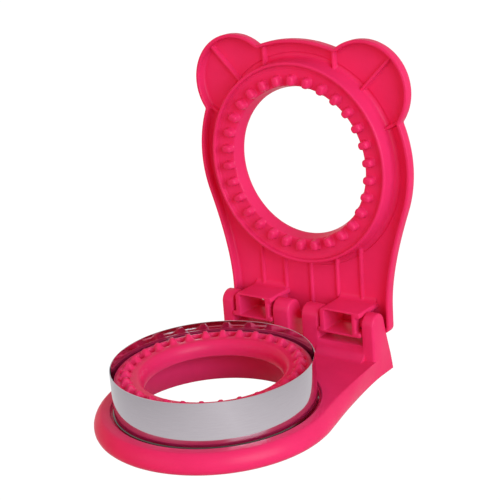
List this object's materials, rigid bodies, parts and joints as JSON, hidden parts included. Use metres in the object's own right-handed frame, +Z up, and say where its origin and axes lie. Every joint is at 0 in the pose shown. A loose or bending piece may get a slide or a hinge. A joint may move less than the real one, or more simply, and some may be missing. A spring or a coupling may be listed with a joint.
{
  "type": "sandwich cutter",
  "caption": "Hinged round sandwich cutter: steel cutting band and crimping ring on a plastic base, with a bear-head lid that folds down to press and seal.",
  "frame": {"origin": "middle of the bounding box on the table, with the lid open as in the picture", "axes": "+Z up from the table, +Y from the cutting ring to the hinge, +X along the hinge axis"},
  "size_m": [0.1178, 0.143, 0.1582],
  "materials": {
    "base_plastic": "satin gloss",
    "crimp_ring_plastic": "satin gloss",
    "cutter_band_steel": "polished with a fine brushed grain",
    "lid_plastic": "satin gloss"
  },
  "bodies": {
    "base": {"base": "base_plastic", "crimp_ring": "crimp_ring_plastic", "cutter_band": "cutter_band_steel"},
    "lid": {"lid": "lid_plastic"}
  },
  "joints": [
    {"name": "lid_hinge", "type": "hinge", "parent": "base", "child": "lid", "pos_m": [0, 0.05694, 0.02595], "axis": [1, 0, 0], "range_deg": [0, 91.2]}
  ]
}
